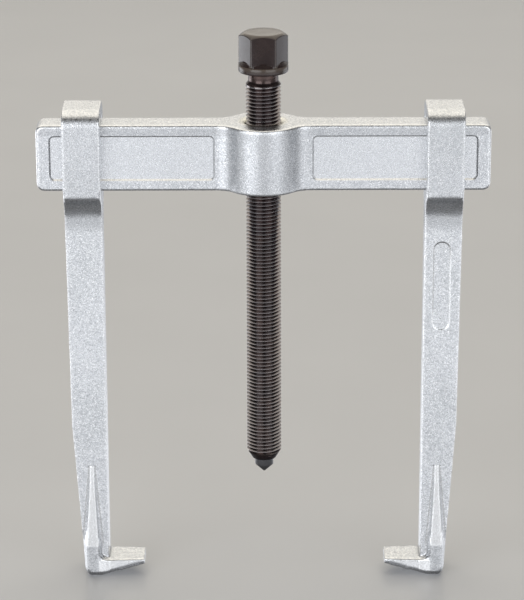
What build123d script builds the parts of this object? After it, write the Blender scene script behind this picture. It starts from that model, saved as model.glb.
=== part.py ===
from build123d import *
import os

os.makedirs("parts", exist_ok=True)

# Two-arm gear puller, in millimetres.  The object stands on its two hooks on z = 0, the crossbeam
# runs along X, the spindle along Z, and the whole is symmetric about the XZ plane.

# ---- driving dimensions ------------------------------------------------------------------------
# crossbeam: a rectangular bar with a round boss in the middle
BEAM_LENGTH = 180.0
BEAM_DEPTH = 13.0
BEAM_HEIGHT = 27.0
BEAM_BOTTOM = 165.7
BEAM_CORNER_R = 3.0
BEAM_EDGE_R = 0.9
BOSS_R = 15.5
BOSS_BLEND_R = 9.0
PANEL_INNER = 19.6
PANEL_OUTER = 84.6
PANEL_HEIGHT = 17.8
PANEL_CORNER_R = 1.8
PANEL_DEPTH = 0.8

# spindle: M14 x 1.5 with a 17 mm hexagon
SPINDLE_R = 7.0
THREAD_FIT = 0.06
COUNTERSINK = 1.2
SPINDLE_END = 50.3
SPINDLE_END_R = 4.9
SPINDLE_END_TAPER = 3.4
THREAD_TOP = 207.6
NECK_R = 5.95
NECK_CONE = 2.6
COLLAR_BOTTOM = 213.0
COLLAR_R = 9.9
COLLAR_HEIGHT = 3.0
COLLAR_EDGE_R = 0.4
COLLAR_CONE = 1.3
HEX_ACROSS_FLATS = 17.0
HEAD_TOP = 228.8
HEAD_TOP_R = 7.5
HEAD_TURNED_R = 10.05
HEAD_CHAMFER = 1.58

# live centre in the end of the spindle: pin, thrust ball and snap ring
CENTRE_R = 3.75
CENTRE_FIT = 0.05
CENTRE_TIP = 43.9
CENTRE_CONE = 3.3
CENTRE_TIP_R = 0.4
CENTRE_TOP = 58.4
CENTRE_TOP_CHAMFER = 0.3
BALL_R = 3.5
BALL_PLAY = 0.05
RING_BOTTOM = 53.6
RING_HEIGHT = 0.9
RING_INNER_R = 3.3
RING_OUTER_R = 4.3
RING_OPENING = 40.0
GROOVE_SIDE_PLAY = 0.15
GROOVE_DEPTH_PLAY = 0.15

# arms: an eye round the crossbeam, a blade, a rib and a hook
ARM_INNER = 64.3
EYE_OUTER = 79.3
EYE_DEPTH = 26.0
EYE_TOP = 199.4
EYE_TOP_R = 6.3
EYE_BOTTOM = 163.7
EYE_PLAY_Y = 0.25
EYE_PLAY_Z = 0.4
EYE_WINDOW_R = 1.0
STEP_BOTTOM = 153.2
BLADE_DEPTH = 11.5
BLADE_TAPER_TOP = 66.0
BLADE_TAPER_TOP_X = 78.4
HEEL_TOP = 14.0
HEEL_OUTER = 74.9
HEEL_BOTTOM_OUTER = 72.6
HEEL_BOTTOM_INNER = 67.0
HEEL_CORNER = 2.4
HEEL_CORNER_OUT = 1.7
HOOK_TIP = 49.6
HOOK_TOP = 7.2
HOOK_TIP_THICKNESS = 2.4
HOOK_ROOT_DEPTH = 15.4
HOOK_TIP_DEPTH = 12.9
HOOK_CORNER_R = 4.5
RIB_TOP = 48.0
RIB_TOP_X = 70.7
RIB_TOP_WIDTH = 1.2
RIB_INNER = 68.6
RIB_OUTER = 73.2
RIB_SLOPE = 1.3
RIB_TOP_SLOPE = 0.2
RIB_TOP_PROUD = 0.05
SHOULDER = 1.0
ROOT_OVERLAP = 0.1
CORNER_SET_BACK = 0.3

# two lengths count as the same within this
SAME = 0.01

BEAM_TOP = BEAM_BOTTOM + BEAM_HEIGHT
BEAM_MID = BEAM_BOTTOM + BEAM_HEIGHT / 2
COLLAR_TOP = COLLAR_BOTTOM + COLLAR_HEIGHT


# ---- crossbeam ---------------------------------------------------------------------------------
def is_boss_corner(vertex):
    """A corner where the round boss cuts the flat side of the bar."""
    return abs(vertex.X) < BOSS_R and abs(vertex.Y) < BEAM_DEPTH / 2 + SAME


with BuildPart() as crossbeam:
    with BuildSketch(Plane.XY.offset(BEAM_BOTTOM)) as plan:
        Rectangle(BEAM_LENGTH, BEAM_DEPTH)
        Circle(BOSS_R)
        fillet(plan.vertices().filter_by(is_boss_corner), BOSS_BLEND_R)
    extrude(amount=BEAM_HEIGHT)

    # the four corners of the bar, seen from the front, are rounded
    end_corners = crossbeam.edges().filter_by(Axis.Y).filter_by(
        lambda e: abs(abs(e.center().X) - BEAM_LENGTH / 2) < SAME
    )
    fillet(end_corners, BEAM_CORNER_R)
    # a small radius along every outer edge of the bar and boss
    side_faces = crossbeam.faces().filter_by(lambda f: abs(f.normal_at().Z) < SAME).filter_by(
        lambda f: abs(f.normal_at().Y) > SAME
    )
    outline = [e for face in side_faces for e in face.edges() if not e.is_interior]
    fillet(outline, BEAM_EDGE_R)

    # shallow sunk panels, two on each side face
    for side in (Plane.XZ, Plane(Plane.XZ.origin, x_dir=(-1, 0, 0), z_dir=(0, 1, 0))):
        with BuildSketch(side.offset(BEAM_DEPTH / 2)):
            middle = (PANEL_INNER + PANEL_OUTER) / 2
            with Locations((-middle, BEAM_MID), (middle, BEAM_MID)):
                RectangleRounded(PANEL_OUTER - PANEL_INNER, PANEL_HEIGHT, PANEL_CORNER_R)
        extrude(amount=-PANEL_DEPTH, mode=Mode.SUBTRACT)

    # the spindle's hole, countersunk at both ends
    with Locations((0, 0, BEAM_TOP)):
        Hole(SPINDLE_R + THREAD_FIT)
    bore_rims = crossbeam.edges().filter_by(GeomType.CIRCLE).filter_by(
        lambda e: abs(e.radius - SPINDLE_R - THREAD_FIT) < SAME
    )
    chamfer(bore_rims, COUNTERSINK)
crossbeam.part.label = "crossbeam"
export_step(crossbeam.part, "parts/crossbeam.step")


# ---- spindle -----------------------------------------------------------------------------------
groove_bottom = RING_BOTTOM
groove_top = RING_BOTTOM + RING_HEIGHT + GROOVE_SIDE_PLAY
bore_r = CENTRE_R + CENTRE_FIT
bore_top = CENTRE_TOP + BALL_PLAY + 2 * BALL_R

with BuildPart() as spindle:
    # hexagon with a flat to the front, its top turned to a cone
    with BuildSketch(Plane.XY.offset(COLLAR_TOP)):
        RegularPolygon(HEX_ACROSS_FLATS / 2, 6, major_radius=False)
    extrude(amount=HEAD_TOP - COLLAR_TOP)
    with BuildSketch(Plane.XZ):
        with BuildLine():
            Polyline(
                (0, COLLAR_TOP),
                (HEAD_TURNED_R, COLLAR_TOP),
                (HEAD_TURNED_R, HEAD_TOP - HEAD_CHAMFER),
                (HEAD_TOP_R, HEAD_TOP),
                (0, HEAD_TOP),
                close=True,
            )
        make_face()
    revolve(axis=Axis.Z, mode=Mode.INTERSECT)

    # coned collar, neck, threaded shank and tapered end
    with BuildSketch(Plane.XZ):
        with BuildLine():
            Polyline(
                (0, SPINDLE_END),
                (SPINDLE_END_R, SPINDLE_END),
                (SPINDLE_R, SPINDLE_END + SPINDLE_END_TAPER),
                (SPINDLE_R, THREAD_TOP),
                (NECK_R, THREAD_TOP + NECK_CONE),
                (NECK_R, COLLAR_BOTTOM),
                (COLLAR_R, COLLAR_BOTTOM),
                (COLLAR_R, COLLAR_TOP),
                (COLLAR_R - COLLAR_CONE, COLLAR_TOP + COLLAR_CONE),
                (0, COLLAR_TOP + COLLAR_CONE),
                close=True,
            )
        make_face()
    revolve(axis=Axis.Z)
    collar_rims = spindle.edges().filter_by(GeomType.CIRCLE).filter_by(
        lambda e: abs(e.radius - COLLAR_R) < SAME
    )
    fillet(collar_rims.sort_by(Axis.Z)[0], COLLAR_EDGE_R)

    # blind bore for the live centre, with a groove for its snap ring
    with BuildSketch(Plane.XZ):
        with BuildLine():
            Polyline(
                (0, SPINDLE_END),
                (bore_r, SPINDLE_END),
                (bore_r, groove_bottom),
                (RING_OUTER_R + CENTRE_FIT, groove_bottom),
                (RING_OUTER_R + CENTRE_FIT, groove_top),
                (bore_r, groove_top),
                (bore_r, bore_top),
                (0, bore_top),
                close=True,
            )
        make_face()
    revolve(axis=Axis.Z, mode=Mode.SUBTRACT)
spindle.part.label = "spindle"
export_step(spindle.part, "parts/spindle.step")


# ---- live centre -------------------------------------------------------------------------------
with BuildPart() as centre_point:
    neck_r = RING_INNER_R - GROOVE_DEPTH_PLAY
    neck_bottom = RING_BOTTOM - GROOVE_SIDE_PLAY
    neck_top = RING_BOTTOM + RING_HEIGHT + GROOVE_SIDE_PLAY
    with BuildSketch(Plane.XZ):
        with BuildLine():
            Polyline(
                (0, CENTRE_TIP),
                (CENTRE_TIP_R, CENTRE_TIP),
                (CENTRE_R, CENTRE_TIP + CENTRE_CONE),
                (CENTRE_R, neck_bottom),
                (neck_r, neck_bottom),
                (neck_r, neck_top),
                (CENTRE_R, neck_top),
                (CENTRE_R, CENTRE_TOP),
                (0, CENTRE_TOP),
                close=True,
            )
        make_face()
    revolve(axis=Axis.Z)
    chamfer(centre_point.faces().sort_by(Axis.Z)[-1].edges(), CENTRE_TOP_CHAMFER)
centre_point.part.label = "centre_point"
export_step(centre_point.part, "parts/centre_point.step")

with BuildPart() as thrust_ball:
    with Locations((0, 0, bore_top - BALL_R)):
        Sphere(BALL_R)
thrust_ball.part.label = "thrust_ball"
export_step(thrust_ball.part, "parts/thrust_ball.step")

with BuildPart() as retaining_ring:
    with BuildSketch(Plane.XZ):
        with Locations(((RING_INNER_R + RING_OUTER_R) / 2, RING_BOTTOM + RING_HEIGHT / 2)):
            Rectangle(RING_OUTER_R - RING_INNER_R, RING_HEIGHT)
    revolve(axis=Axis.Z, revolution_arc=360 - RING_OPENING)
retaining_ring.part.label = "retaining_ring"
export_step(retaining_ring.part, "parts/retaining_ring.step")


# ---- arms --------------------------------------------------------------------------------------
def heel_section(inner, outer, half_depth, slope):
    """Plan of the heel and rib: flat front and back, with sloping flanks."""
    root = BLADE_DEPTH / 2 - ROOT_OVERLAP
    right_half = [(inner - slope, -root), (inner, -half_depth), (outer, -half_depth), (outer + slope, -root)]
    return right_half + [(x, -y) for x, y in reversed(right_half)]


# everything an arm may fill, seen from the side and from above
with BuildPart() as arm_envelope:
    # eye, hollow step and blade in side view
    with BuildSketch(Plane.YZ.offset(ARM_INNER)) as side_view:
        with BuildLine():
            step_y = (EYE_DEPTH - BLADE_DEPTH) / 2
            step_z = EYE_BOTTOM - STEP_BOTTOM
            for side in (-1, 1):
                blade_foot = (side * BLADE_DEPTH / 2, 0)
                step_foot = (side * BLADE_DEPTH / 2, STEP_BOTTOM)
                eye_foot = (side * EYE_DEPTH / 2, EYE_BOTTOM)
                Line(blade_foot, step_foot)
                TangentArc(step_foot, eye_foot, tangent=(0, 1))
                Line(eye_foot, (side * EYE_DEPTH / 2, EYE_TOP))
            Line((-EYE_DEPTH / 2, EYE_TOP), (EYE_DEPTH / 2, EYE_TOP))
            Line((-BLADE_DEPTH / 2, 0), (BLADE_DEPTH / 2, 0))
        make_face()
        fillet(side_view.vertices().group_by(Axis.Y)[-1], EYE_TOP_R)
    extrude(amount=EYE_OUTER - ARM_INNER)

    # hook, narrowing towards its tip in plan
    with BuildSketch(Plane.XY):
        with BuildLine():
            Polyline(
                (HOOK_TIP, -HOOK_TIP_DEPTH / 2),
                (RIB_INNER, -HOOK_ROOT_DEPTH / 2),
                (RIB_OUTER, -HOOK_ROOT_DEPTH / 2),
                (RIB_OUTER + RIB_SLOPE, SHOULDER - BLADE_DEPTH / 2),
                (RIB_OUTER + RIB_SLOPE, BLADE_DEPTH / 2 - SHOULDER),
                (RIB_OUTER, HOOK_ROOT_DEPTH / 2),
                (RIB_INNER, HOOK_ROOT_DEPTH / 2),
                (HOOK_TIP, HOOK_TIP_DEPTH / 2),
                close=True,
            )
        make_face()
    extrude(amount=HOOK_TOP)

    # round fillet in the inner corner between hook and heel
    with BuildSketch(Plane.XZ):
        with Locations((RIB_INNER - HOOK_CORNER_R / 2, HOOK_TOP + HOOK_CORNER_R / 2)):
            Rectangle(HOOK_CORNER_R, HOOK_CORNER_R)
        with Locations((RIB_INNER - HOOK_CORNER_R, HOOK_TOP + HOOK_CORNER_R)):
            Circle(HOOK_CORNER_R, mode=Mode.SUBTRACT)
    extrude(amount=HOOK_ROOT_DEPTH / 2 - CORNER_SET_BACK, both=True)

    # upright heel, then the rib that runs out into the blade
    with BuildSketch(Plane.XY):
        Polygon(*heel_section(RIB_INNER, RIB_OUTER, HOOK_ROOT_DEPTH / 2, RIB_SLOPE), align=None)
    extrude(amount=HEEL_TOP)
    with BuildSketch(Plane.XY.offset(HEEL_TOP)) as rib_foot:
        Polygon(*heel_section(RIB_INNER, RIB_OUTER, HOOK_ROOT_DEPTH / 2, RIB_SLOPE), align=None)
    with BuildSketch(Plane.XY.offset(RIB_TOP)) as rib_head:
        Polygon(
            *heel_section(
                RIB_TOP_X - RIB_TOP_WIDTH / 2,
                RIB_TOP_X + RIB_TOP_WIDTH / 2,
                BLADE_DEPTH / 2 + RIB_TOP_PROUD,
                RIB_TOP_SLOPE,
            ),
            align=None,
        )
    loft([rib_foot.sketch, rib_head.sketch], ruled=True)

with BuildPart() as right_arm:
    # outline in front view
    with BuildSketch(Plane.XZ):
        with BuildLine():
            Polyline(
                (ARM_INNER, EYE_TOP),
                (ARM_INNER, HOOK_TOP),
                (HOOK_TIP, HOOK_TOP),
                (HOOK_TIP, HOOK_TOP - HOOK_TIP_THICKNESS),
                (HEEL_BOTTOM_INNER, 0),
                (HEEL_BOTTOM_OUTER, 0),
                (HEEL_BOTTOM_OUTER + HEEL_CORNER_OUT, HEEL_CORNER),
                (HEEL_OUTER, HEEL_TOP),
                (BLADE_TAPER_TOP_X, BLADE_TAPER_TOP),
                (EYE_OUTER, STEP_BOTTOM),
                (EYE_OUTER, EYE_TOP),
                close=True,
            )
        make_face()
    extrude(amount=EYE_DEPTH / 2, both=True)
    add(arm_envelope.part, mode=Mode.INTERSECT)

    # the eye's window round the crossbeam, which rests on its lower face
    with BuildSketch(Plane.YZ.offset(ARM_INNER)):
        with Locations((0, BEAM_BOTTOM + (BEAM_HEIGHT + EYE_PLAY_Z) / 2)):
            RectangleRounded(BEAM_DEPTH + 2 * EYE_PLAY_Y, BEAM_HEIGHT + EYE_PLAY_Z, EYE_WINDOW_R)
    extrude(amount=EYE_OUTER - ARM_INNER, mode=Mode.SUBTRACT)
right_arm.part.label = "right_arm"
export_step(right_arm.part, "parts/right_arm.step")

# the left arm is the same forging turned round
with BuildPart() as left_arm:
    add(right_arm.part)
    mirror(about=Plane.YZ, mode=Mode.REPLACE)
left_arm.part.label = "left_arm"
export_step(left_arm.part, "parts/left_arm.step")
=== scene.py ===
import math

import bpy
import bmesh
import numpy as np
from mathutils import Matrix, Vector, noise


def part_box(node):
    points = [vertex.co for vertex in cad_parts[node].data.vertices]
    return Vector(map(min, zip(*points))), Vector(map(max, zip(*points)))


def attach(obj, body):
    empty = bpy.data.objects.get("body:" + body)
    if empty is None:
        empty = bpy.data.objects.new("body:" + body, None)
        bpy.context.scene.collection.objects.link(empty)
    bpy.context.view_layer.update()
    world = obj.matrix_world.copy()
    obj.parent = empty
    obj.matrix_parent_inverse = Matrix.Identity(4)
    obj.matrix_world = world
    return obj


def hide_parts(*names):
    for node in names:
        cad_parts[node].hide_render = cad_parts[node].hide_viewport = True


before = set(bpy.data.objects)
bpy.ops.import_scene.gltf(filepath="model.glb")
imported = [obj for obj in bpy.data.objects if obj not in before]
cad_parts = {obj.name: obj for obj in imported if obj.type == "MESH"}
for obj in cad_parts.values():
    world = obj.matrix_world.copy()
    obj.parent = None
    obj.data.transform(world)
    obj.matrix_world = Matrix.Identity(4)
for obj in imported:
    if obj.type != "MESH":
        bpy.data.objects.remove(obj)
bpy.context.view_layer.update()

MM = 0.001

# ---- the frame's own places ----------------------------------------------------------------------
beam_low, beam_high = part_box("crossbeam")
spindle_low, spindle_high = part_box("spindle")
point_low, point_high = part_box("centre_point")
ring_low, ring_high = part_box("retaining_ring")
arm_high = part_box("right_arm")[1]
ball_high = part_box("thrust_ball")[1]

# ---- spindle: M14 x 1.5, 17 mm hexagon, in metres ------------------------------------------------
PITCH = 1.5 * MM
CREST_R = 6.97 * MM
ROOT_R = 6.05 * MM
THREAD_TOP = spindle_high.z - 21.2 * MM
NECK_R = 5.95 * MM
NECK_FLARE = 1.7 * MM
COLLAR_BOTTOM = spindle_high.z - 15.8 * MM
COLLAR_TOP = COLLAR_BOTTOM + 3.0 * MM
COLLAR_R = 9.88 * MM
FLAT_R = 8.5 * MM
HEAD_TOP_R = 7.5 * MM
HEAD_CONE = 0.62
END_R = 4.9 * MM
END_TAPER = 3.4 * MM
POINT_R = (point_high.x - point_low.x) / 2
BORE_R = POINT_R + 0.05 * MM
BORE_TOP = ball_high.z
EDGE_BREAK = 0.12 * MM

# ---- centre point: a pin with a cone and a groove for its ring ------------------------------------
POINT_CONE = 3.3 * MM
GROOVE_R = 3.15 * MM
GROOVE_PLAY = 0.15 * MM

# ---- crossbeam's sunk panels ---------------------------------------------------------------------
PANEL_INNER = 19.6 * MM
PANEL_OUTER = beam_high.x - 5.4 * MM
PANEL_HALF_HEIGHT = 8.9 * MM
PANEL_CORNER = 1.8 * MM
PANEL_DEPTH = 0.8 * MM
PANEL_WALL = 0.64 * MM
BAR_HALF_DEPTH = 6.5 * MM
BEAM_NET = 0.5 * MM
REFINE_REACH = 0.9 * MM
BEAM_MID_Z = (beam_low.z + beam_high.z) / 2


# ---- node helpers --------------------------------------------------------------------------------
RANGE_INPUTS = ("From Min", "From Max", "To Min", "To Max")


class Nodes:
    """A short hand for building a material's node tree."""

    def __init__(self, name):
        self.material = bpy.data.materials.new(name)
        self.material.use_nodes = True
        self.tree = self.material.node_tree
        self.tree.nodes.clear()
        self.output = self.tree.nodes.new("ShaderNodeOutputMaterial")
        self.shader = self.tree.nodes.new("ShaderNodeBsdfPrincipled")
        self.link(self.shader.outputs["BSDF"], self.output.inputs["Surface"])
        self.place = self.tree.nodes.new("ShaderNodeTexCoord").outputs["Object"]

    def link(self, source, target):
        self.tree.links.new(source, target)

    def put(self, value, target):
        """Links a socket or sets a plain value."""
        if hasattr(value, "is_output"):
            self.link(value, target)
        else:
            target.default_value = value

    def noise(self, size, detail=2.0, rough=0.5, stretch=(1, 1, 1)):
        """Noise whose features are about size metres across."""
        mapping = self.tree.nodes.new("ShaderNodeMapping")
        mapping.inputs["Scale"].default_value = stretch
        self.link(self.place, mapping.inputs["Vector"])
        node = self.tree.nodes.new("ShaderNodeTexNoise")
        node.inputs["Scale"].default_value = 1 / size
        node.inputs["Detail"].default_value = detail
        node.inputs["Roughness"].default_value = rough
        self.link(mapping.outputs["Vector"], node.inputs["Vector"])
        return node.outputs["Fac"]

    def speckle(self, size):
        """A random number for each grain of about size metres."""
        node = self.tree.nodes.new("ShaderNodeTexVoronoi")
        node.inputs["Scale"].default_value = 1 / size
        self.link(self.place, node.inputs["Vector"])
        split = self.tree.nodes.new("ShaderNodeSeparateColor")
        self.link(node.outputs["Color"], split.inputs["Color"])
        return split.outputs["Red"]

    def range(self, value, low, high, to_low=0.0, to_high=1.0):
        """Maps low..high to to_low..to_high, and holds the ends."""
        node = self.tree.nodes.new("ShaderNodeMapRange")
        self.link(value, node.inputs["Value"])
        for name, number in zip(RANGE_INPUTS, (low, high, to_low, to_high)):
            node.inputs[name].default_value = number
        return node.outputs["Result"]

    def math(self, operation, a, b):
        node = self.tree.nodes.new("ShaderNodeMath")
        node.operation = operation
        self.put(a, node.inputs[0])
        self.put(b, node.inputs[1])
        return node.outputs[0]

    def mix(self, share, a, b):
        node = self.tree.nodes.new("ShaderNodeMix")
        node.data_type = "RGBA"
        self.put(share, node.inputs["Factor"])
        self.put(a, node.inputs["A"])
        self.put(b, node.inputs["B"])
        return node.outputs["Result"]

    def attribute(self, name):
        node = self.tree.nodes.new("ShaderNodeAttribute")
        node.attribute_name = name
        return node.outputs["Fac"]

    def bump(self, height, depth, strength=1.0, under=None):
        """Bump of that depth in metres for a height from 0 to 1, over another bump."""
        node = self.tree.nodes.new("ShaderNodeBump")
        node.inputs["Distance"].default_value = depth
        self.put(strength, node.inputs["Strength"])
        self.link(height, node.inputs["Height"])
        if under is not None:
            self.link(under, node.inputs["Normal"])
        return node.outputs["Normal"]

    def finish(self, color, roughness, metallic=1.0, normal=None, **plain):
        """Fills the shader in and gives the material; plain are sockets that get one value."""
        self.put(color, self.shader.inputs["Base Color"])
        self.put(roughness, self.shader.inputs["Roughness"])
        self.put(metallic, self.shader.inputs["Metallic"])
        if normal is not None:
            self.link(normal, self.shader.inputs["Normal"])
        for name, value in plain.items():
            self.shader.inputs[name].default_value = value
        return self.material


def rgb(r, g, b):
    return (r, g, b, 1.0)


def shade_of(color, red, green, blue):
    """A colour with each channel multiplied."""
    return rgb(color[0] * red, color[1] * green, color[2] * blue)


# ---- materials -----------------------------------------------------------------------------------
def zinc_plated(name, tint, grain=0.85 * MM, grain_depth=0.095 * MM):
    """Shot-blasted forging under bright zinc: fine sparkling grain, pale worn edges with painted
    highlights, painted shade, faint stains.
    """
    n = Nodes(name)
    fine = n.noise(grain, detail=6.0, rough=0.85)
    cell = n.speckle(0.42 * MM)
    pit = n.speckle(0.75 * MM)
    coarse = n.noise(2.6 * MM, detail=2.0, rough=0.5)
    swell = n.noise(11 * MM, detail=1.0)
    stain = n.noise(17 * MM, detail=4.0, rough=0.6, stretch=(1, 1, 0.5))
    wear = n.attribute("edge_wear")
    hollow = n.attribute("hollow")

    normal = n.bump(swell, 0.12 * MM, 0.6)
    normal = n.bump(coarse, 0.045 * MM, 0.6, normal)
    normal = n.bump(fine, grain_depth, n.range(n.attribute("smooth_floor"), 0, 1, 1.0, 0.8), normal)

    # blotches, dark and bright grains
    base = n.mix(n.range(stain, 0.42, 0.68), rgb(*tint), shade_of(tint, 0.9, 0.905, 0.9))
    base = n.mix(n.range(cell, 0.0, 0.45, 0.42, 0.0), base, rgb(0.36, 0.37, 0.39))
    base = n.mix(n.range(pit, 0.0, 0.3, 0.28, 0.0), base, rgb(0.36, 0.37, 0.39))
    base = n.mix(n.range(cell, 0.7, 1.0, 0.0, 0.8), base, rgb(1.0, 1.0, 1.0))
    # places: sunk panels, the yellowish ring round the hole, painted shade on faces and in hollows, worn
    # edges with painted highlights, a painted dark line
    # a yellowish ring on the top face round the hole
    film = n.math("MULTIPLY", n.attribute("stain"), n.range(stain, 0.3, 0.7, 0.35, 0.75))
    base = n.mix(n.math("MULTIPLY", n.attribute("smooth_floor"), 0.6), base, rgb(0.84, 0.85, 0.868))
    base = n.mix(film, base, rgb(0.62, 0.58, 0.43))
    # painted shade on faces that catch less light
    base = n.mix(n.attribute("dull"), base, shade_of(tint, 0.6, 0.6, 0.6))
    # painted shade in hollows, creases and along the panels' upper walls
    base = n.mix(n.math("MULTIPLY", hollow, 0.55), base, rgb(0.36, 0.35, 0.33))
    # pale worn edges, with painted highlights on the panels' lower walls, the rib's facet and the field's
    # lit wall
    base = n.mix(n.math("MULTIPLY", wear, 0.9), base, rgb(0.98, 0.98, 0.975))
    # a painted dark line of shade under the eyes' upper edges
    base = n.mix(n.math("MULTIPLY", n.attribute("scale_mark"), 0.85), base, rgb(0.10, 0.10, 0.098))

    rough = n.range(cell, 0.0, 1.0, 0.34, 0.22)
    rough = n.math("SUBTRACT", rough, n.math("MULTIPLY", wear, 0.08))
    return n.finish(base, rough, 1.0, normal)


def phosphated(name, tint, head_tint):
    """Dark phosphated steel with an oily sheen and brighter rubbed crests and rims, partly painted
    highlights; the head is brown and duller.
    """
    n = Nodes(name)
    fine = n.noise(0.45 * MM, detail=3.0, rough=0.6)
    blotch = n.noise(6 * MM, detail=4.0, rough=0.6)
    wear = n.attribute("edge_wear")
    normal = n.bump(fine, 0.012 * MM, 0.5)
    head = n.attribute("head")
    patch = n.range(blotch, 0.35, 0.7)
    shank = n.mix(patch, rgb(*tint), shade_of(tint, 1.5, 1.25, 1.1))
    brown = n.mix(patch, rgb(*head_tint), shade_of(head_tint, 1.3, 1.15, 1.0))
    rubbed = n.mix(head, rgb(0.74, 0.72, 0.73), rgb(0.42, 0.35, 0.28))
    base = n.mix(head, shank, brown)
    # rubbed crests and rims: wear, partly painted highlights
    base = n.mix(n.math("MULTIPLY", wear, 0.3), base, rubbed)
    rough = n.range(blotch, 0.3, 0.75, 0.17, 0.28)
    return n.finish(base, rough, n.math("SUBTRACT", 1.0, head), normal, IOR=1.52)


def black_oxide(name):
    """Blackened steel with faint turning marks round its axis."""
    n = Nodes(name)
    turned = n.noise(0.5 * MM, detail=2.0, stretch=(0.1, 0.1, 3.0))
    blotch = n.noise(2.2 * MM, detail=3.0)
    normal = n.bump(turned, 0.008 * MM, 0.5)
    base = n.mix(blotch, rgb(0.09, 0.09, 0.095), rgb(0.17, 0.165, 0.17))
    return n.finish(base, n.range(blotch, 0.3, 0.7, 0.28, 0.42), 0.85, normal)


def ground_steel(name):
    """Bright ground steel, for the ball and the ring."""
    n = Nodes(name)
    fine = n.noise(0.3 * MM, detail=2.0)
    normal = n.bump(fine, 0.003 * MM, 0.3)
    base = n.mix(fine, rgb(0.62, 0.62, 0.64), rgb(0.74, 0.74, 0.76))
    return n.finish(base, n.range(fine, 0.3, 0.7, 0.12, 0.2), 1.0, normal)


def studio_floor(name):
    """Plain pale paint."""
    n = Nodes(name)
    fine = n.noise(0.9 * MM, detail=2.0)
    wide = n.noise(90 * MM, detail=2.0)
    base = n.mix(wide, rgb(0.57, 0.57, 0.575), rgb(0.61, 0.61, 0.615))
    return n.finish(base, n.range(fine, 0.3, 0.7, 0.3, 0.36), 0.0, n.bump(fine, 0.01 * MM, 0.2))


# ---- mesh helpers --------------------------------------------------------------------------------
def new_object(name, mesh, material, body, slot, *nodes):
    """Puts a finished mesh in the scene, in place of the CAD nodes it stands for."""
    piece = bpy.data.objects.new(name, mesh)
    bpy.context.scene.collection.objects.link(piece)
    mesh.materials.clear()
    mesh.materials.append(material)
    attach(piece, body)
    if nodes:
        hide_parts(*nodes)
    return piece


def points_of(mesh):
    co = np.empty(len(mesh.vertices) * 3)
    mesh.vertices.foreach_get("co", co)
    return co.reshape(-1, 3)


def put_points(mesh, co):
    mesh.vertices.foreach_set("co", co.astype(np.float32).ravel())
    mesh.update()


def normals_of(mesh):
    n = np.empty(len(mesh.vertices) * 3)
    mesh.vertex_normals.foreach_get("vector", n)
    return n.reshape(-1, 3)


def edges_of(mesh):
    e = np.empty(len(mesh.edges) * 2, dtype=np.int64)
    mesh.edges.foreach_get("vertices", e)
    return e.reshape(-1, 2)


def spread(values, edges, rounds):
    """Averages a value per vertex with its neighbours."""
    count = np.bincount(edges.ravel(), minlength=len(values)).astype(float)
    for _ in range(rounds):
        total = np.zeros_like(values)
        np.add.at(total, edges[:, 0], values[edges[:, 1]])
        np.add.at(total, edges[:, 1], values[edges[:, 0]])
        mean = total / (count[:, None] if values.ndim == 2 else count)
        values = 0.5 * values + 0.5 * mean
    return values


def store(mesh, **layers):
    """Keeps values from 0 to 1 per vertex for the materials."""
    for name, value in layers.items():
        layer = mesh.attributes.new(name, "FLOAT", "POINT")
        layer.data.foreach_set("value", np.clip(value, 0, 1).astype(np.float32))


def bend_of(mesh, reach, strength):
    """How far each vertex stands out of (above 0) or lies under the smoothed surface round it."""
    co, edges = points_of(mesh), edges_of(mesh)
    offset = np.einsum("ij,ij->i", co - spread(co, edges, reach), normals_of(mesh))
    length = np.linalg.norm(co[edges[:, 0]] - co[edges[:, 1]], axis=1).mean()
    return offset / length * strength


def soften(mesh, share, rounds):
    """Rounds the surface off where share is above 0."""
    co = points_of(mesh)
    put_points(mesh, co + share[:, None] * (spread(co, edges_of(mesh), rounds) - co))


def fade(value, low, high):
    """Smooth step from 0 at low to 1 at high."""
    t = np.clip((value - low) / (high - low), 0, 1)
    return t * t * (3 - 2 * t)


def remeshed(node, voxel, smooth_rounds):
    """A copy of a CAD node as an even net of small faces with softly rounded edges."""
    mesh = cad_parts[node].data.copy()
    bm = bmesh.new()
    bm.from_mesh(mesh)
    bmesh.ops.remove_doubles(bm, verts=bm.verts, dist=1e-6)
    bm.to_mesh(mesh)
    bm.free()
    holder = bpy.data.objects.new(node + "_remesh", mesh)
    bpy.context.scene.collection.objects.link(holder)
    modifier = holder.modifiers.new("net", "REMESH")
    modifier.mode = "VOXEL"
    modifier.voxel_size = voxel
    modifier.adaptivity = 0.0
    bpy.context.view_layer.update()
    graph = bpy.context.evaluated_depsgraph_get()
    net = bpy.data.meshes.new_from_object(holder.evaluated_get(graph))
    bpy.data.objects.remove(holder)
    put_points(net, spread(points_of(net), edges_of(net), smooth_rounds))
    net.polygons.foreach_set("use_smooth", [True] * len(net.polygons))
    return net


def refine(mesh, chosen):
    """Halves the faces where every corner is chosen."""
    bm = bmesh.new()
    bm.from_mesh(mesh)
    bm.verts.ensure_lookup_table()
    edges = [e for e in bm.edges if chosen[e.verts[0].index] and chosen[e.verts[1].index]]
    bmesh.ops.subdivide_edges(bm, edges=edges, cuts=1, use_grid_fill=True)
    bm.to_mesh(mesh)
    bm.free()
    mesh.polygons.foreach_set("use_smooth", [True] * len(mesh.polygons))


def forge(mesh, low, high, depth):
    """Slight unevenness of a forged face, inside the CAD box."""
    co, n = points_of(mesh), normals_of(mesh)
    wide, narrow = 1 / (7 * MM), 1 / (2.5 * MM)
    wave = np.array([noise.noise(Vector(p) * wide) + 0.5 * noise.noise(Vector(p) * narrow) for p in co])
    put_points(mesh, np.clip(co + n * (wave[:, None] * depth), np.array(low), np.array(high)))


# ---- crossbeam -----------------------------------------------------------------------------------
BOSS_SHADE_X = [x * MM for x in (-17, -12, -6, -1.5, 3, 10, 14, 17, 19)]
BOSS_SHADE = [0, 0.08, 0.1, 0.55, 0.5, 0.4, 0.4, 0.45, 0]


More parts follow.
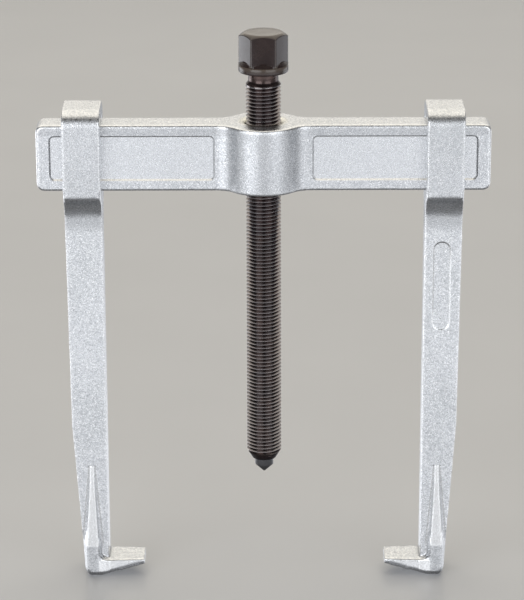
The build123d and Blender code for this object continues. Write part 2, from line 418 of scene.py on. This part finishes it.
def rounded_box_distance(x, z, half_x, half_z, corner):
    """Signed distance to a rectangle with round corners, negative inside."""
    dx = np.abs(x) - (half_x - corner)
    dz = np.abs(z) - (half_z - corner)
    outside = np.hypot(np.maximum(dx, 0), np.maximum(dz, 0))
    return outside + np.minimum(np.maximum(dx, dz), 0) - corner


def line_up(mesh, distance_at, edge, reach, chosen):
    """Moves the chosen vertices within reach of a contour onto it, and says which were moved."""
    co = points_of(mesh)
    step = 0.01 * MM
    off = distance_at(co) - edge
    slope_x = (distance_at(co + [step, 0, 0]) - distance_at(co - [step, 0, 0])) / (2 * step)
    slope_z = (distance_at(co + [0, 0, step]) - distance_at(co - [0, 0, step])) / (2 * step)
    moved = chosen & (np.abs(off) < reach)
    co[moved, 0] -= (off * slope_x)[moved]
    co[moved, 2] -= (off * slope_z)[moved]
    put_points(mesh, co)
    return moved


def keep_sharp(mesh, *groups):
    """Marks the edges whose two ends are in the same group."""
    edges = edges_of(mesh)
    sharp = np.zeros(len(edges), dtype=bool)
    for group in groups:
        sharp |= group[edges[:, 0]] & group[edges[:, 1]]
    mesh.edges.foreach_set("use_edge_sharp", sharp)


def make_crossbeam(material):
    """The forged bar: rounded edges, sunk panels with crisp walls, a yellowish ring round the hole, painted
    shade on the boss.
    """
    mesh = remeshed("crossbeam", BEAM_NET, 2)
    forge(mesh, beam_low, beam_high, 0.03 * MM)
    middle, half = (PANEL_OUTER + PANEL_INNER) / 2, (PANEL_OUTER - PANEL_INNER) / 2

    def from_panel(co):
        return rounded_box_distance(
            np.abs(co[:, 0]) - middle, co[:, 2] - BEAM_MID_Z, half, PANEL_HALF_HEIGHT, PANEL_CORNER
        )

    # the panel's wall: two crisp lines with a slope between them
    co = points_of(mesh)
    on_side = np.abs(co[:, 1]) > BAR_HALF_DEPTH - 1.3 * PANEL_DEPTH
    refine(mesh, (np.abs(from_panel(co)) < REFINE_REACH) & on_side)
    near_wall = np.abs(points_of(mesh)[:, 1]) > BAR_HALF_DEPTH - 1.1 * PANEL_DEPTH
    lip = line_up(mesh, from_panel, PANEL_WALL / 2, BEAM_NET / 4, near_wall)
    foot = line_up(mesh, from_panel, -PANEL_WALL / 2, BEAM_NET / 4, near_wall)
    keep_sharp(mesh, lip, foot)
    co = points_of(mesh)
    y, distance = co[:, 1], from_panel(co)
    near = (distance < 0.8 * MM) & near_wall
    sink = np.clip(0.5 - distance / PANEL_WALL, 0, 1)
    co[near, 1] = (np.sign(y) * (BAR_HALF_DEPTH - PANEL_DEPTH * sink))[near]
    put_points(mesh, co)

    bend = bend_of(mesh, 6, 1.6)
    panel = np.where(near | (distance < 0), sink, 0) * (np.abs(co[:, 1]) < BAR_HALF_DEPTH - 0.4 * MM)
    round_hole = 1 - fade(np.hypot(co[:, 0], co[:, 1]), 8.0 * MM, 10.8 * MM)
    top = co[:, 2] > beam_high.z - 1.5 * MM
    upper = fade(co[:, 2] - BEAM_MID_Z, -PANEL_HALF_HEIGHT + 1.0 * MM, -PANEL_HALF_HEIGHT + 3.0 * MM)
    wall = np.clip(1 - np.abs(distance) / (0.5 * MM), 0, 1)
    wall = wall * (np.abs(y) > BAR_HALF_DEPTH - 1.1 * PANEL_DEPTH)
    # a painted shadow line along the panel's upper wall
    line = wall * upper * 0.9
    # painted shade: the boss is darker from just left of its middle to its right side
    dull = np.interp(co[:, 0], BOSS_SHADE_X, BOSS_SHADE)
    # painted shade on the upper rim's front and back faces too
    upper_rim = co[:, 2] - BEAM_MID_Z > PANEL_HALF_HEIGHT + 0.4 * MM
    dull = np.maximum(dull, 0.4 * upper_rim * (np.abs(normals_of(mesh)[:, 1]) > 0.8))
    # the panel's lower wall gets a painted highlight line on top of the worn edges
    store(
        mesh,
        edge_wear=np.clip(bend, 0, 1) * (1 - line) + wall * (1 - upper),
        hollow=-bend * upper + line,
        smooth_floor=panel,
        stain=round_hole * top,
        dull=dull * (~top),
    )
    return new_object("crossbeam_forging", mesh, material, "beam", "zinc_steel", "crossbeam")


# ---- arms ----------------------------------------------------------------------------------------
EYE_HALF, EYE_FOOT = arm_high.y, arm_high.z - 35.7 * MM
STEP_FOOT = EYE_FOOT - 10.5 * MM
SCALE_LINE = arm_high.z - 2.2 * MM
HEEL_TOP, RIB_TOP = 14 * MM, 48 * MM
RIB_FOOT_MIDDLE, RIB_FOOT_HALF = arm_high.x - 8.4 * MM, 2.3 * MM
RIB_HEAD_MIDDLE, RIB_HEAD_HALF = arm_high.x - 8.6 * MM, 0.6 * MM
PAD_EDGE = RIB_FOOT_MIDDLE - RIB_FOOT_HALF
HOOK_TOP, PAD_CORNER = 7.2 * MM, 4.5 * MM
HEEL_BOTTOM_INNER, HOOK_RISE = arm_high.x - 12.3 * MM, 4.8 * MM
BLADE_HALF = 5.75 * MM
ARM_NET = 0.44 * MM
FIELD_X, FIELD_Z = arm_high.x - 8.0 * MM, 125.5 * MM
FIELD_HALF, FIELD_REACH, FIELD_DEPTH = 3.4 * MM, 18.5 * MM, 0.35 * MM


def below_rib_top(z):
    return 1 - fade(z, RIB_TOP - 0.2 * MM, RIB_TOP + 0.5 * MM)


def rib_at(x, z):
    """Rise up the rib from 0 to 1, distance beside its flat facet, and share of that facet."""
    rise = np.clip((z - HEEL_TOP) / (RIB_TOP - HEEL_TOP), 0, 1)
    middle = RIB_FOOT_MIDDLE + (RIB_HEAD_MIDDLE - RIB_FOOT_MIDDLE) * rise
    half = RIB_FOOT_HALF + (RIB_HEAD_HALF - RIB_FOOT_HALF) * rise
    beside = np.abs(x - middle) - half
    return rise, beside, (1 - fade(beside, -0.1 * MM, 0.45 * MM)) * below_rib_top(z)


def into_pad(x, z):
    """Distance inside the outline of the raised face that hook and heel share."""
    corner_x, corner_z = PAD_EDGE - PAD_CORNER, HOOK_TOP + PAD_CORNER
    inside = np.where(z > corner_z, x - PAD_EDGE, np.hypot(x - corner_x, z - corner_z) - PAD_CORNER)
    return np.where(x < corner_x, HOOK_TOP - z, inside)


def underside_at(x, tip):
    """Height of the hook's sloping underside, from the heel inwards to the tip."""
    return np.maximum(0, (HEEL_BOTTOM_INNER - x) / (HEEL_BOTTOM_INNER - tip) * HOOK_RISE)


def near_throat(x, z):
    """Share of the round inner corner between hook and heel."""
    return 1 - fade(np.hypot(x - PAD_EDGE, z - HOOK_TOP - 2.5 * MM), 2.5 * MM, 5.5 * MM)


def crease_at(x, z):
    """Share of the fine crease down the rib's flanks and round the throat."""
    rise, beside, _ = rib_at(x, z)
    above_heel = fade(z, 13 * MM, 14 * MM)
    flank_foot = 1.3 * MM * (1 - rise) + 0.65 * MM
    flank = np.clip(1 - np.abs(beside - flank_foot) / (0.5 * MM), 0, 1)
    flank = flank * above_heel * below_rib_top(z)
    arc_out = 0.25 * MM + 1.7 * MM * fade(z, HOOK_TOP, HEEL_TOP - 1 * MM)
    arc = np.clip(1 - np.abs(-into_pad(x, z) - arc_out) / (0.5 * MM), 0, 1) * (1 - above_heel)
    arc = arc * fade(z, HOOK_TOP + 0.4 * MM, HOOK_TOP + 2 * MM) * (x < RIB_FOOT_MIDDLE)
    return np.maximum(flank, arc)


def raise_hook_and_rib(mesh, tip):
    """Brings hook, heel and rib proud of the blade, with the hook's underside drawn in."""
    co, n = points_of(mesh), normals_of(mesh)
    x, y, z = np.abs(co[:, 0]), np.abs(co[:, 1]), co[:, 2]
    front = fade(np.abs(n[:, 1]), 0.3, 0.6)
    rise, _, facet = rib_at(x, z)
    underside = underside_at(x, tip)
    swell = np.interp(into_pad(x, z), [-0.2 * MM, 0.8 * MM], [-0.1, 0.25])
    swell = np.minimum(swell, np.interp(z - underside, [0, 2.0 * MM], [-0.2, 0.25]))
    proud = np.clip((y - BLADE_HALF - 0.05 * MM) / (0.06 * MM + 1.85 * MM * (1 - rise)), 0, 1)
    deep = np.where(x < PAD_EDGE - PAD_CORNER, z < HOOK_TOP + 0.5 * MM, proud)
    up_rib = fade(z, HEEL_TOP + 1 * MM, HEEL_TOP + 6 * MM)
    relief = facet * front * up_rib + proud * (1 - up_rib)
    relief = relief * (0.15 + 1.25 * (1 - rise)) * fade(z, 0.0, 2.5 * MM)
    share = 1 - fade(x, RIB_FOOT_MIDDLE - 7.5 * MM, RIB_FOOT_MIDDLE + 0.5 * MM)
    share = share * (1 - fade(z, HOOK_TOP, HOOK_TOP + 3.5 * MM)) * deep
    hold = np.where(swell < 0, np.clip(y / (6 * MM) - 0.4, 0, 1), front)
    push = hold * share * swell + (1 - share) * relief - 0.22 * crease_at(x, z) * front
    co[:, 1] += np.sign(co[:, 1]) * push * MM
    put_points(mesh, co)


def from_field(co):
    """Signed distance to the outline of the blank field on the blade."""
    return rounded_box_distance(
        co[:, 0] - FIELD_X, co[:, 2] - FIELD_Z, FIELD_HALF, FIELD_REACH, FIELD_HALF
    )


def sink_field(mesh):
    """A blank sunken field with round ends on the front of the blade."""
    co = points_of(mesh)
    refine(mesh, (np.abs(from_field(co)) < REFINE_REACH) & (co[:, 1] < 0.25 * MM - BLADE_HALF))
    co, n = points_of(mesh), normals_of(mesh)
    on_front = (n[:, 1] < -0.7) & (co[:, 1] < 0.25 * MM - BLADE_HALF)
    sink = np.clip(0.5 - from_field(co) / (0.5 * MM), 0, 1) * on_front
    co[:, 1] += FIELD_DEPTH * sink * sink * (3 - 2 * sink)
    put_points(mesh, co)


def wear_arm(mesh, has_field):
    """Worn edges with painted highlights, painted shade in hollows and on faces, and a painted dark line
    under the eye's upper edge, for the material.
    """
    co, n = points_of(mesh), normals_of(mesh)
    x, y, z = np.abs(co[:, 0]), np.abs(co[:, 1]), co[:, 2]
    bend = bend_of(mesh, 6, 1.0)
    crease = crease_at(x, z) * fade(np.abs(n[:, 1]), 0.3, 0.6)
    facet = rib_at(x, z)[2] * fade(z, HEEL_TOP - 0.6 * MM, HEEL_TOP + 0.4 * MM)
    # the rib's front facet gets a painted highlight
    worn = bend + 1.4 * facet
    # painted shade in hollows and along the crease, less at the throat
    hollow = (-1.5 * bend + 0.8 * crease) * (1 - 0.8 * near_throat(x, z))
    if has_field:
        wall = np.clip(1 - np.abs(from_field(co)) / (0.45 * MM), 0, 1)
        wall = wall * (n[:, 1] < -0.7) * (co[:, 1] < 0.75 * MM - BLADE_HALF)
        # painted highlight on the field's lit wall, painted shade on its other side
        lit = fade(co[:, 0] - FIELD_X - 0.3 * (z - FIELD_Z), -1 * MM, 1 * MM)
        worn = worn + 0.75 * wall * lit
        hollow = hollow + 1.1 * wall * (1 - lit)
    # ragged painted dark line of shade under the eye's upper edge
    scale = np.zeros(len(z))
    for i in np.flatnonzero((np.abs(z - SCALE_LINE) < 1.2 * MM) & (y > 11.8 * MM)):
        ragged = noise.noise(Vector(co[i]) * (1 / (0.8 * MM)))
        scale[i] = 1.5 - abs(z[i] - SCALE_LINE + 0.4 * MM * ragged) / (0.4 * MM) + 1.5 * ragged
    scale = np.clip(scale, 0, 1)
    facing = np.abs(n[:, 1]) > 0.7
    above_underside = fade(z - underside_at(x, x.min()), 1.8 * MM, 2.8 * MM)
    rubbed = facing * above_underside * (z < HOOK_TOP + 0.2 * MM) * (x < PAD_EDGE)
    # painted shade on the eye, the step below it, the heel's front faces and the rib's lower flanks
    eye = fade(z, EYE_FOOT - 1 * MM, EYE_FOOT + 1 * MM)
    step = fade(z, STEP_FOOT - 6 * MM, STEP_FOOT - 1 * MM) - fade(z, STEP_FOOT + 1 * MM, STEP_FOOT + 7 * MM)
    heel = 0.4 * facing * (1 - fade(z, HEEL_TOP - 0.5 * MM, HEEL_TOP + 0.3 * MM))
    heel = heel * fade(x, 66 * MM, 70 * MM)
    flank = 0.6 * ~facing * (1 - fade(z, HEEL_TOP, HEEL_TOP + 12 * MM)) * (x > RIB_FOOT_MIDDLE)
    store(
        mesh,
        edge_wear=np.maximum(worn, 0.8 * rubbed) * (1 - scale),
        hollow=hollow,
        scale_mark=scale,
        dull=0.7 * step + (0.12 + 0.18 * facing) * eye + heel + flank,
    )


def make_arm(node, material):
    """One forged arm. A node and its body have the same name; the right arm has the blank field."""
    low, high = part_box(node)
    has_field = node == "right_arm"
    mesh = remeshed(node, ARM_NET, 3)
    co = points_of(mesh)
    x, y, z = np.abs(co[:, 0]), np.abs(co[:, 1]), co[:, 2]
    eye_foot = 1 - fade(np.hypot(y - EYE_HALF, z - EYE_FOOT), 1.5 * MM, 5 * MM)
    heel = 0.8 * (1 - fade(z, 1.5 * MM, 4 * MM)) * (x > 60 * MM)
    soften(mesh, np.maximum(eye_foot, heel), 36)

    co = points_of(mesh)
    x, y, z = np.abs(co[:, 0]), np.abs(co[:, 1]), co[:, 2]
    refine(mesh, (np.abs(x - RIB_FOOT_MIDDLE) < 7 * MM) & (z < RIB_TOP + 1 * MM) & (y > 4.5 * MM))
    raise_hook_and_rib(mesh, min(abs(low.x), abs(high.x)))
    co = points_of(mesh)
    soften(mesh, near_throat(np.abs(co[:, 0]), co[:, 2]) * (np.abs(co[:, 1]) > 5 * MM), 12)
    if has_field:
        sink_field(mesh)
    forge(mesh, low, high, 0.05 * MM)
    wear_arm(mesh, has_field)
    return new_object(node + "_forging", mesh, material, node, "zinc_steel_arm", node)


# ---- spindle -------------------------------------------------------------------------------------
# angles of the rows in a sixth of a turn, in degrees, close together at the hexagon's corners
SECTOR = (0.0, 1.3, 2.6, 8.0, 15.0, 22.5, 30.0, 37.5, 45.0, 52.0, 57.4, 58.7)
ANGLES = [math.radians(60 * k + a) for k in range(6) for a in SECTOR]
# (share of the pitch, height from 0 at the root to 1 at the crest)
THREAD_PROFILE = (
    (0.0, 0.95),
    (0.022, 1.0),
    (0.103, 1.0),
    (0.125, 0.95),
    (0.49, 0.07),
    (0.5625, 0.0),
    (0.635, 0.07),
)


def hexagon_radius(angle):
    """Radius of the 17 mm hexagon at an angle, its corners slightly rounded, one corner towards +X."""
    sharp = 90
    total = sum(max(0.0, math.cos(angle - math.radians(30 + 60 * k))) ** sharp for k in range(6))
    return FLAT_R * total ** (-1 / sharp)


def thread_limit(z):
    """Largest radius the thread may have: it fades into the neck above and the taper below."""
    above = NECK_R + (CREST_R + 0.3 * MM - NECK_R) * (THREAD_TOP + NECK_FLARE - z) / NECK_FLARE
    below = END_R + (CREST_R - END_R) * (z - spindle_low.z) / END_TAPER
    return max(min(above, below, CREST_R), min(NECK_R, END_R))


def ring_of(bm, radius_at, z_at):
    places = [(radius_at(a) * math.cos(a), radius_at(a) * math.sin(a), z_at(a)) for a in ANGLES]
    return [bm.verts.new(place) for place in places]


def bridge(bm, lower, upper):
    for i in range(len(lower)):
        j = (i + 1) % len(lower)
        bm.faces.new((lower[i], lower[j], upper[j], upper[i]))


def lathe(bm, profile, start=None):
    """Rings up a profile of (radius, z), where either may be a function of the angle."""
    rings = [start] if start else []
    for radius, z in profile:
        radius_at = radius if callable(radius) else (lambda a, r=radius: r)
        z_at = z if callable(z) else (lambda a, h=z: h)
        rings.append(ring_of(bm, radius_at, z_at))
    for lower, upper in zip(rings, rings[1:]):
        bridge(bm, lower, upper)
    return rings


def make_thread(bm):
    """A real right-hand helix: rows that follow the thread, clamped to the ends of the shank."""
    top = THREAD_TOP + NECK_FLARE * 0.55
    turns = math.ceil((top - spindle_low.z) / PITCH) + 2
    start = spindle_low.z - PITCH
    rows = []
    for turn in range(turns):
        for share, height in THREAD_PROFILE:
            row = []
            for a in ANGLES:
                z = start + PITCH * (turn + share + a / (2 * math.pi))
                z = min(max(z, spindle_low.z), top)
                limit = thread_limit(z)
                cut = min(ROOT_R + (CREST_R - ROOT_R) * height, limit)
                runout = float(fade(z, THREAD_TOP - 0.6 * MM, THREAD_TOP + 0.5 * MM))
                r = cut + (limit - cut) * runout
                row.append(bm.verts.new((r * math.cos(a), r * math.sin(a), z)))
            rows.append(row)
    steps = len(THREAD_PROFILE)
    for k in range(len(rows) - 1):
        for i in range(len(ANGLES) - 1):
            bm.faces.new((rows[k][i], rows[k][i + 1], rows[k + 1][i + 1], rows[k + 1][i]))
        # the last column joins the first column one turn up
        if k + 1 + steps < len(rows):
            bm.faces.new((rows[k][-1], rows[k + steps][0], rows[k + steps + 1][0], rows[k + 1][-1]))


def make_spindle(material):
    """Thread, neck, collar and hexagon, and the bore for the centre point in its end."""
    bm = bmesh.new()
    make_thread(bm)
    top = THREAD_TOP + NECK_FLARE * 0.55
    neck_start = thread_limit(top)

    def flat_foot(a):
        return COLLAR_TOP + COLLAR_R - hexagon_radius(a)

    def flat_top(a):
        return spindle_high.z - (hexagon_radius(a) - HEAD_TOP_R) * HEAD_CONE

    def inset(distance):
        return lambda a: hexagon_radius(a) - distance

    upper = lathe(
        bm,
        [
            (neck_start, top),
            (NECK_R + 0.12 * MM, THREAD_TOP + NECK_FLARE * 0.9),
            (NECK_R, THREAD_TOP + NECK_FLARE * 1.15),
            (NECK_R, COLLAR_BOTTOM - 0.5 * MM),
            (NECK_R + 0.15 * MM, COLLAR_BOTTOM - 0.12 * MM),
            (NECK_R + 0.5 * MM, COLLAR_BOTTOM),
            (COLLAR_R - 0.5 * MM, COLLAR_BOTTOM),
            (COLLAR_R - 0.15 * MM, COLLAR_BOTTOM + 0.15 * MM),
            (COLLAR_R, COLLAR_BOTTOM + 0.5 * MM),
            (COLLAR_R, COLLAR_TOP - 0.45 * MM),
            (COLLAR_R - 0.12 * MM, COLLAR_TOP - 0.2 * MM),
            (COLLAR_R - 0.35 * MM, COLLAR_TOP),
            (inset(-0.28 * MM), lambda a: flat_foot(a) + 0.02 * MM),
            (inset(-0.08 * MM), lambda a: flat_foot(a) + 0.18 * MM),
            (inset(0.0), lambda a: flat_foot(a) + 0.5 * MM),
            (inset(0.0), lambda a: flat_top(a) - 2 * EDGE_BREAK),
            (inset(0.3 * EDGE_BREAK), lambda a: flat_top(a) - 0.7 * EDGE_BREAK),
            (inset(1.3 * EDGE_BREAK), lambda a: flat_top(a) + 0.3 * EDGE_BREAK),
            (HEAD_TOP_R + 0.3 * MM, spindle_high.z - 0.186 * MM),
            (HEAD_TOP_R, spindle_high.z - 0.04 * MM),
            (HEAD_TOP_R - 0.35 * MM, spindle_high.z),
            (HEAD_TOP_R * 0.5, spindle_high.z),
        ],
    )
    bm.faces.new(upper[-1])
    lower = lathe(
        bm,
        [
            (0.4 * MM, BORE_TOP),
            (BORE_R, BORE_TOP),
            (BORE_R, ring_high.z + GROOVE_PLAY),
            (ring_high.x + 0.05 * MM, ring_high.z + GROOVE_PLAY),
            (ring_high.x + 0.05 * MM, ring_low.z),
            (BORE_R, ring_low.z),
            (BORE_R, spindle_low.z + 0.15 * MM),
            (BORE_R + 0.15 * MM, spindle_low.z),
            (END_R, spindle_low.z),
        ],
    )
    bm.faces.new(lower[0])
    bmesh.ops.remove_doubles(bm, verts=bm.verts, dist=2e-6)
    bmesh.ops.dissolve_degenerate(bm, dist=1e-7, edges=bm.edges)
    bmesh.ops.recalc_face_normals(bm, faces=bm.faces)
    mesh = bpy.data.meshes.new("spindle_turned")
    bm.to_mesh(mesh)
    bm.free()
    mesh.polygons.foreach_set("use_smooth", [True] * len(mesh.polygons))
    mesh.set_sharp_from_angle(angle=math.radians(38))
    co = points_of(mesh)
    radius, z = np.hypot(co[:, 0], co[:, 1]), co[:, 2]
    corner = np.abs((np.degrees(np.arctan2(co[:, 1], co[:, 0])) + 30) % 60 - 30) < 1.0
    on_head = z > COLLAR_BOTTOM - 0.01 * MM
    # rubbed crests and the head's top face: wear, partly painted highlight; the hexagon's corners and the
    # collar's rims: painted highlights
    crest = fade(radius, 6.5 * MM, 6.9 * MM) * (z < THREAD_TOP + 0.3 * MM)
    rim = on_head * (corner * (radius > FLAT_R) * (z > COLLAR_TOP + 0.6 * MM) * 0.5)
    rim = np.maximum(rim, 0.8 * (z > spindle_high.z - 0.3 * MM))
    rim = np.maximum(rim, 0.7 * (radius > COLLAR_R - 0.2 * MM) * (np.abs(z - COLLAR_TOP) < 0.48 * MM))
    store(mesh, edge_wear=crest + rim, head=on_head * 1.0)
    return new_object("spindle_turned", mesh, material, "spindle", "dark_steel", "spindle")


def make_point(material):
    """The centre point: a cone, a pin and its groove."""
    bm = bmesh.new()
    cone_top = point_low.z + POINT_CONE
    rings = lathe(
        bm,
        [
            (0.12 * MM, point_low.z),
            (0.34 * MM, point_low.z + 0.08 * MM),
            (0.5 * MM, point_low.z + 0.22 * MM),
            (POINT_R - 0.12 * MM, cone_top - 0.1 * MM),
            (POINT_R, cone_top + 0.12 * MM),
            (POINT_R, ring_low.z - GROOVE_PLAY),
            (GROOVE_R, ring_low.z - GROOVE_PLAY),
            (GROOVE_R, ring_high.z + GROOVE_PLAY),
            (POINT_R, ring_high.z + GROOVE_PLAY),
            (POINT_R, point_high.z - 0.3 * MM),
            (POINT_R - 0.3 * MM, point_high.z),
            (POINT_R * 0.5, point_high.z),
        ],
    )
    bm.faces.new(rings[0])
    bm.faces.new(rings[-1])
    bmesh.ops.recalc_face_normals(bm, faces=bm.faces)
    mesh = bpy.data.meshes.new("centre_point_turned")
    bm.to_mesh(mesh)
    bm.free()
    mesh.polygons.foreach_set("use_smooth", [True] * len(mesh.polygons))
    mesh.set_sharp_from_angle(angle=math.radians(30))
    return new_object("centre_point_turned", mesh, material, "centre", "black_steel", "centre_point")


# ---- the pieces ----------------------------------------------------------------------------------
zinc_beam = zinc_plated("zinc_beam", (0.74, 0.752, 0.773))
zinc_arm = zinc_plated("zinc_arm", (0.80, 0.812, 0.83))
dark = phosphated("dark_phosphate", (0.070, 0.057, 0.056), (0.020, 0.010, 0.009))
black = black_oxide("black_oxide")
bright = ground_steel("ground_steel")

make_crossbeam(zinc_beam)
make_arm("left_arm", zinc_arm)
make_arm("right_arm", zinc_arm)
make_spindle(dark)
make_point(black)
for inner in ("thrust_ball", "retaining_ring"):
    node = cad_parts[inner]
    node.data.materials.clear()
    node.data.materials.append(bright)


# ---- studio --------------------------------------------------------------------------------------
def make_floor():
    """A plain pale floor."""
    bm = bmesh.new()
    bmesh.ops.create_grid(bm, x_segments=1, y_segments=1, size=6.0)
    mesh = bpy.data.meshes.new("studio_floor")
    bm.to_mesh(mesh)
    bm.free()
    mesh.materials.append(studio_floor("floor_paint"))
    floor = bpy.data.objects.new("studio_floor", mesh)
    bpy.context.scene.collection.objects.link(floor)
    floor.visible_glossy = False


def area_light(name, place, aim, size, power, color):
    light = bpy.data.lights.new(name, "AREA")
    light.shape = "RECTANGLE"
    light.size, light.size_y = size
    light.energy = power
    light.color = color
    lamp = bpy.data.objects.new(name, light)
    lamp.location = place
    lamp.rotation_euler = (Vector(aim) - Vector(place)).to_track_quat("-Z", "Y").to_euler()
    bpy.context.scene.collection.objects.link(lamp)


make_floor()
WARM, COOL = (1.0, 0.95, 0.85), (0.95, 0.97, 1.0)
area_light("overhead", (0, 0.50, 0.95), (0, 0.10, 0.10), (1.9, 1.9), 11.6, WARM)
area_light("front_left", (-0.76, -1.12, 0.42), (0, 0, 0.10), (1.15, 0.85), 7.2, COOL)
area_light("front_right", (0.76, -1.12, 0.42), (0, 0, 0.10), (1.15, 0.85), 4.8, COOL)
area_light("back_low", (0, 1.5, 0.42), (0, 0, 0.15), (2.4, 0.8), 1.9, WARM)
area_light("floor_card", (0, -0.375, 0.004), (0, -0.3751, 1), (0.9, 0.45), 0.16, COOL)

# ---- world: its brightness by direction is what the metal reflects --------------------------------
world = bpy.data.worlds.new("studio")
world.use_nodes = True
tree = world.node_tree
direction = tree.nodes.new("ShaderNodeTexCoord")
split = tree.nodes.new("ShaderNodeSeparateXYZ")
ramp = tree.nodes.new("ShaderNodeValToRGB")
height = tree.nodes.new("ShaderNodeMapRange")
height.inputs["From Min"].default_value = -1
tree.links.new(direction.outputs["Generated"], split.inputs["Vector"])
tree.links.new(split.outputs["Z"], height.inputs["Value"])
tree.links.new(height.outputs["Result"], ramp.inputs["Fac"])
tree.links.new(ramp.outputs["Color"], tree.nodes["Background"].inputs["Color"])
world.cycles.sampling_method = "NONE"


def world_math(operation, a, b=0.0):
    node = tree.nodes.new("ShaderNodeMath")
    node.operation = operation
    for value, target in ((a, node.inputs[0]), (b, node.inputs[1])):
        if hasattr(value, "is_output"):
            tree.links.new(value, target)
        else:
            target.default_value = value
    return node.outputs[0]


def world_step(value, low, high, to_low, to_high):
    node = tree.nodes.new("ShaderNodeMapRange")
    node.interpolation_type = "SMOOTHSTEP"
    tree.links.new(value, node.inputs["Value"])
    for name, number in zip(RANGE_INPUTS, (low, high, to_low, to_high)):
        node.inputs[name].default_value = number
    return node.outputs["Result"]


# direction on the level: forward is 1 towards the front and -1 behind, sideways is 1 on the right
flat = world_math("MULTIPLY", split.outputs["X"], split.outputs["X"])
flat = world_math("ADD", flat, world_math("MULTIPLY", split.outputs["Y"], split.outputs["Y"]))
flat = world_math("ADD", world_math("SQRT", flat), 0.001)
forward = world_math("DIVIDE", world_math("MULTIPLY", split.outputs["Y"], -1.0), flat)
sideways = world_math("DIVIDE", split.outputs["X"], flat)

# somewhat dimmer straight in front, with bright low panels behind on either side, the left one brighter
gap = world_step(forward, 0.84, 0.98, 1.0, 0.72)
flank = world_step(forward, -0.32, -0.14, 1.0, 0.0)
left_gain = world_step(sideways, -0.6, 0.4, 2.2, 0.85)
side_on = world_step(forward, -0.84, -0.62, 0.0, 1.0)
low_down = world_math("MULTIPLY", side_on, world_step(split.outputs["Z"], -0.16, 0.0, 1.0, 0.0))
low_down = world_math("MULTIPLY", low_down, world_step(split.outputs["Z"], -0.42, -0.32, 0.15, 1.0))
flank = world_math("MULTIPLY", world_math("MULTIPLY", flank, left_gain), low_down)
flank = world_math("MULTIPLY", flank, world_step(split.outputs["Z"], -0.28, -0.23, 1.0, 3.6))
level = world_math("MULTIPLY", gap, world_math("ADD", 1.0, flank))
# the sides and the back are dimmer as a whole
level = world_math("MULTIPLY", level, world_step(forward, 0.15, 0.96, 0.62, 1.0))
tree.links.new(level, tree.nodes["Background"].inputs["Strength"])

# brightness from straight below, 0, to straight above, 1
ramp.color_ramp.elements[0].position = 0.0
ramp.color_ramp.elements[0].color = rgb(0.20, 0.20, 0.205)
ramp.color_ramp.elements[1].position = 1.0
ramp.color_ramp.elements[1].color = rgb(0.34, 0.33, 0.31)
for position, shade in (
    (0.125, 0.25),
    (0.21, 0.42),
    (0.28, 1.5),
    (0.32, 1.66),
    (0.345, 1.3),
    (0.372, 0.62),
    (0.45, 0.66),
    (0.55, 0.42),
    (0.65, 0.22),
    (0.8, 0.20),
):
    stop = ramp.color_ramp.elements.new(position)
    stop.color = rgb(shade * 0.98, shade, shade * 1.04)
bpy.context.scene.world = world
bpy.context.scene.view_settings.view_transform = "Standard"

# ---- camera: the photograph's angle, looking down 18.5 degrees -------------------------------------
LOOK_DOWN, ROLL = 18.5, 0.15
FOCAL_PIXELS, LONG_SIDE = 2870, 600
camera_data = bpy.data.cameras.new("camera")
camera_data.sensor_width = 36
camera_data.lens = camera_data.sensor_width * FOCAL_PIXELS / LONG_SIDE
camera_data.clip_end = 20
camera = bpy.data.objects.new("camera", camera_data)
camera.location = (-0.75 * MM, -1.1, 0.486)
tilt = Matrix.Rotation(math.radians(90 - LOOK_DOWN), 4, "X")
tilt = tilt @ Matrix.Rotation(math.radians(-ROLL), 4, "Z")
camera.rotation_euler = tilt.to_euler()
bpy.context.scene.collection.objects.link(camera)
bpy.context.scene.camera = camera
